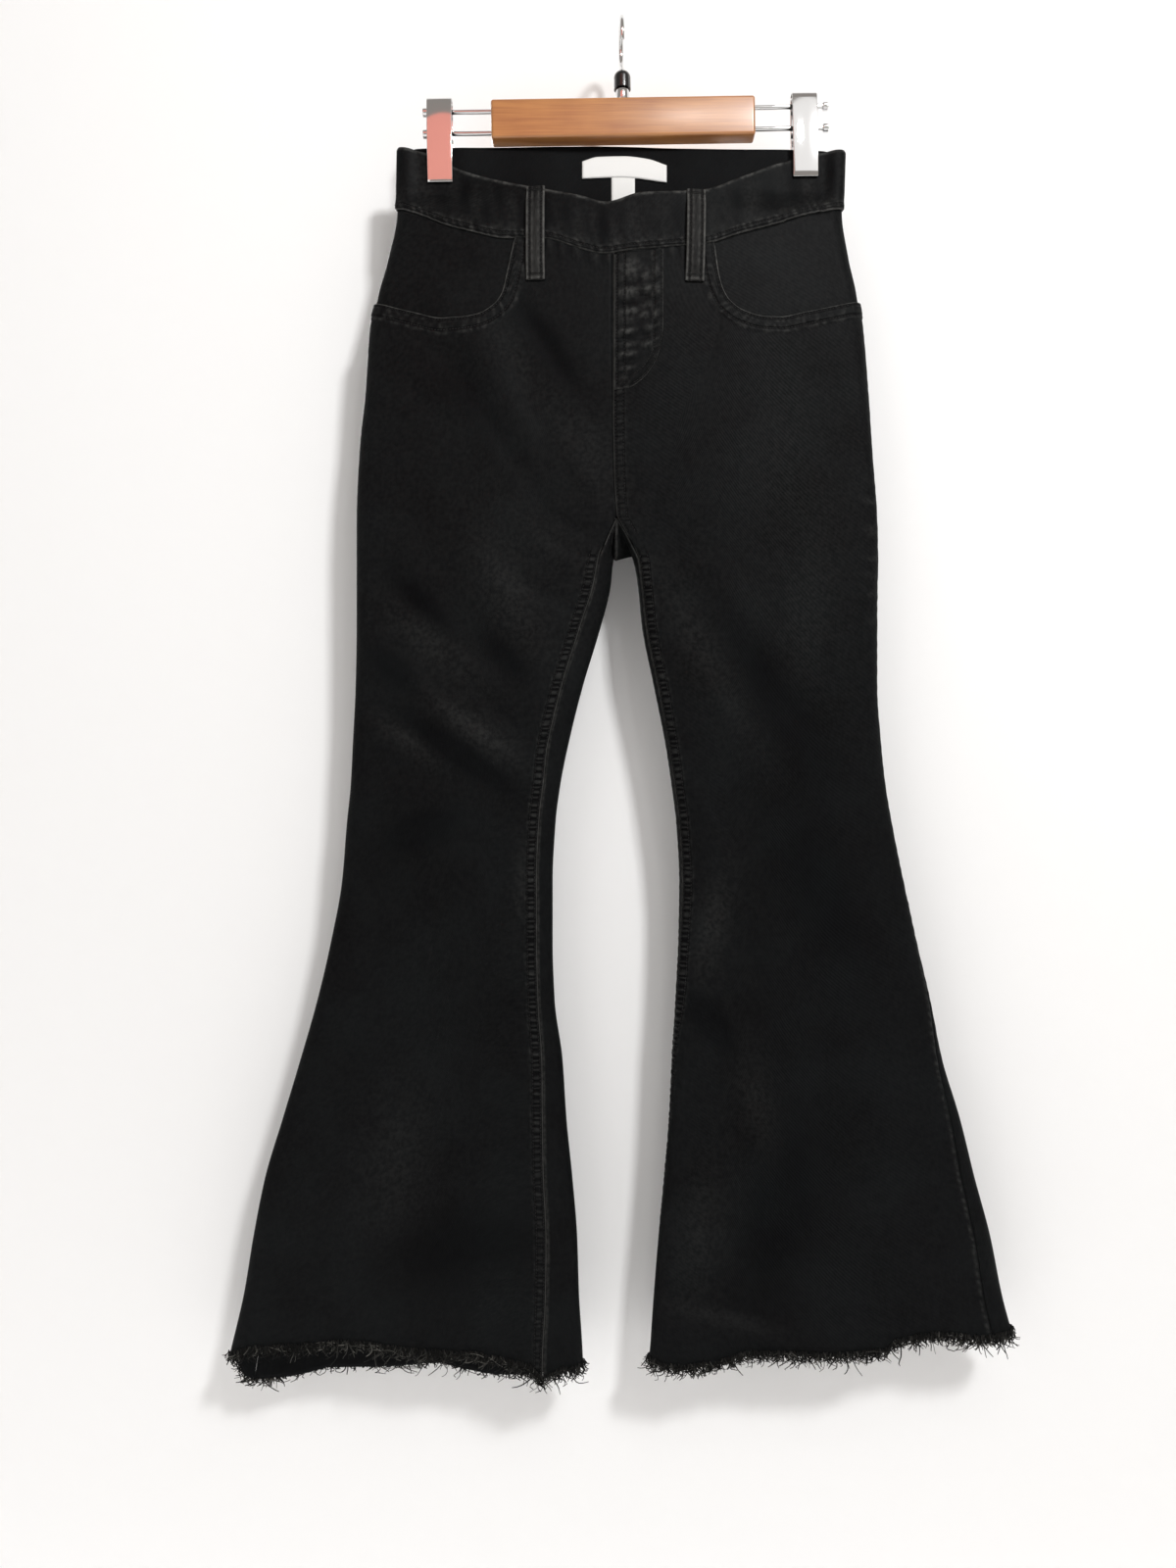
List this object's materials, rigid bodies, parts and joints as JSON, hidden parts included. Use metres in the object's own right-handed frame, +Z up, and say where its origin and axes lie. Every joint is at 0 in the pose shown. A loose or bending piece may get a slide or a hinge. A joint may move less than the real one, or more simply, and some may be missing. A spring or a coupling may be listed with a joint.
{
  "type": "flared jeans on a clip hanger",
  "caption": "Pull-on flared jeans with scooped front pockets, a mock fly and raw frayed hems, hung flat by the waist from a wooden-bar clip hanger.",
  "frame": {"origin": "inside top of the hanger's hook, where a rail or wall hook holds it", "axes": "+Z up, the front of the jeans faces -Y, +X is to the right of someone looking at the front"},
  "size_m": [0.5965, 0.0448, 1.0574],
  "materials": {
    "black_denim": "coated black stretch denim, faint sheen, worn at the seams",
    "worn_denim": "black stretch denim rubbed grey along its edges",
    "frayed_cotton": "loose dark grey warp and weft ends",
    "white_satin": "plain white satin label, blank",
    "hanger_wood": "satin lacquered warm brown wood",
    "chrome": "mirror polished",
    "black_plastic": "glossy black, plain"
  },
  "bodies": {
    "root": {"front_panel_left": "black_denim", "front_panel_right": "black_denim", "back_panel_left": "black_denim", "back_panel_right": "black_denim", "back_yoke_left": "black_denim", "back_yoke_right": "black_denim", "pocket_facing_left": "black_denim", "pocket_facing_right": "black_denim", "mock_fly": "black_denim", "waistband_front": "black_denim", "waistband_back": "black_denim", "belt_loop_front_left": "worn_denim", "belt_loop_front_right": "worn_denim", "belt_loop_back_left": "worn_denim", "belt_loop_back_centre": "worn_denim", "belt_loop_back_right": "worn_denim", "waist_label": "white_satin", "waist_tab": "white_satin", "hem_fray_left": "frayed_cotton", "hem_fray_right": "frayed_cotton", "hanger_bar": "hanger_wood", "hanger_rod_1": "chrome", "hanger_rod_2": "chrome", "hanger_clip_left": "chrome", "hanger_clip_right": "chrome", "hanger_collar": "chrome", "hanger_cap": "black_plastic", "hanger_hook": "chrome"}
  },
  "joints": []
}
